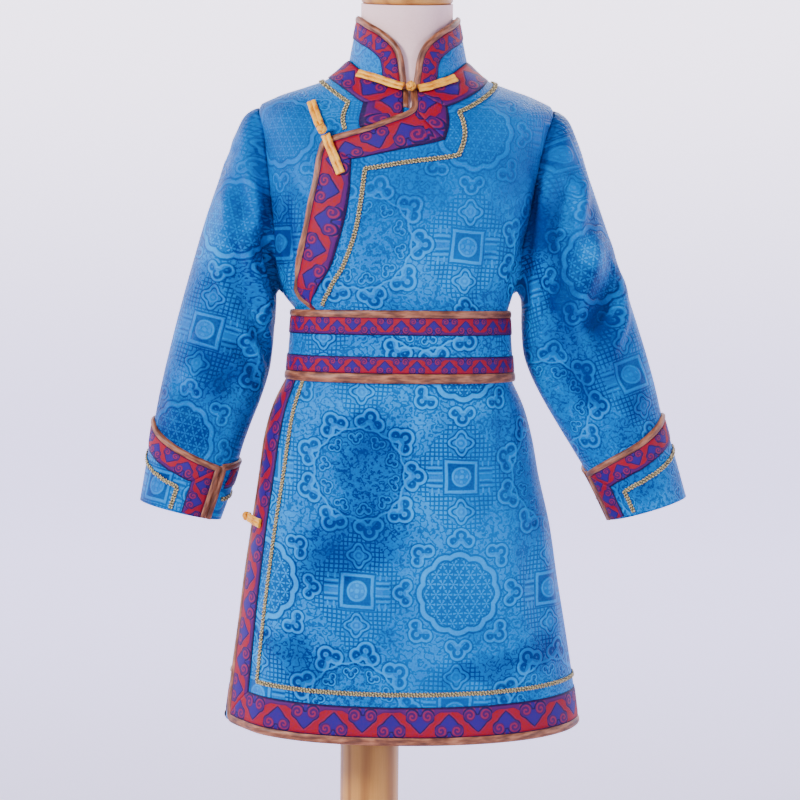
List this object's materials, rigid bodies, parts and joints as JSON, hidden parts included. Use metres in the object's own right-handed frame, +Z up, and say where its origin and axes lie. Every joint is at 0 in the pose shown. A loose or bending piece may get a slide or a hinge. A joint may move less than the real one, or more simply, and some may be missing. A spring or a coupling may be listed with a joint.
{
  "type": "mongolian deel robe on a limbless dress form with a wooden post",
  "caption": "Belted Mongolian deel robe with stand collar, side-lapped front, cuffs and ribbon-trimmed skirt, worn by a limbless dress form on a wooden post.",
  "frame": {"origin": "on the floor, at the base's underside, below the middle of the robe", "axes": "+Z up along the form; -Y out of the robe's front; +X to the right as the front is seen"},
  "size_m": [0.5445, 0.32, 1.0959],
  "materials": {
    "brocade": "tone-on-tone woven satin brocade, blue",
    "ribbon": "woven jacquard ribbon, red with violet scrolls",
    "copper_satin": "copper-coloured satin piping",
    "gold_braid": "twisted metallic braid, pale gold and dark",
    "yellow_satin": "rolled yellow satin cord",
    "form_cover": "plain off-white cotton cover",
    "pale_wood": "clear-lacquered pale wood"
  },
  "bodies": {
    "root": {"back": "brocade", "base": "pale_wood", "belt": "brocade", "braid_cuff_left": "gold_braid", "braid_cuff_right": "gold_braid", "braid_hem_back": "gold_braid", "braid_inner": "gold_braid", "braid_lap": "gold_braid", "braid_neck_back": "gold_braid", "braid_skirt": "gold_braid", "collar": "brocade", "cuff_left": "brocade", "cuff_right": "brocade", "form_torso": "form_cover", "frog_chest_knot": "yellow_satin", "frog_chest_lower": "yellow_satin", "frog_chest_upper": "yellow_satin", "frog_collar_knot": "yellow_satin", "frog_collar_left": "yellow_satin", "frog_collar_right": "yellow_satin", "frog_side_arm": "yellow_satin", "frog_side_knot": "yellow_satin", "inner_front": "brocade", "neck_cap": "pale_wood", "outer_front": "brocade", "piping_belt_bottom": "copper_satin", "piping_belt_top": "copper_satin", "piping_collar": "copper_satin", "piping_cuff_left": "copper_satin", "piping_cuff_right": "copper_satin", "piping_hem_back": "copper_satin", "piping_inner": "copper_satin", "piping_lap": "copper_satin", "piping_skirt": "copper_satin", "post": "pale_wood", "ribbon_belt_bottom": "ribbon", "ribbon_belt_top": "ribbon", "ribbon_collar": "ribbon", "ribbon_cuff_left": "ribbon", "ribbon_cuff_right": "ribbon", "ribbon_hem_back": "ribbon", "ribbon_inner": "ribbon", "ribbon_lap": "ribbon", "ribbon_neck_back": "ribbon", "ribbon_skirt": "ribbon", "sleeve_left": "brocade", "sleeve_right": "brocade"}
  },
  "joints": []
}
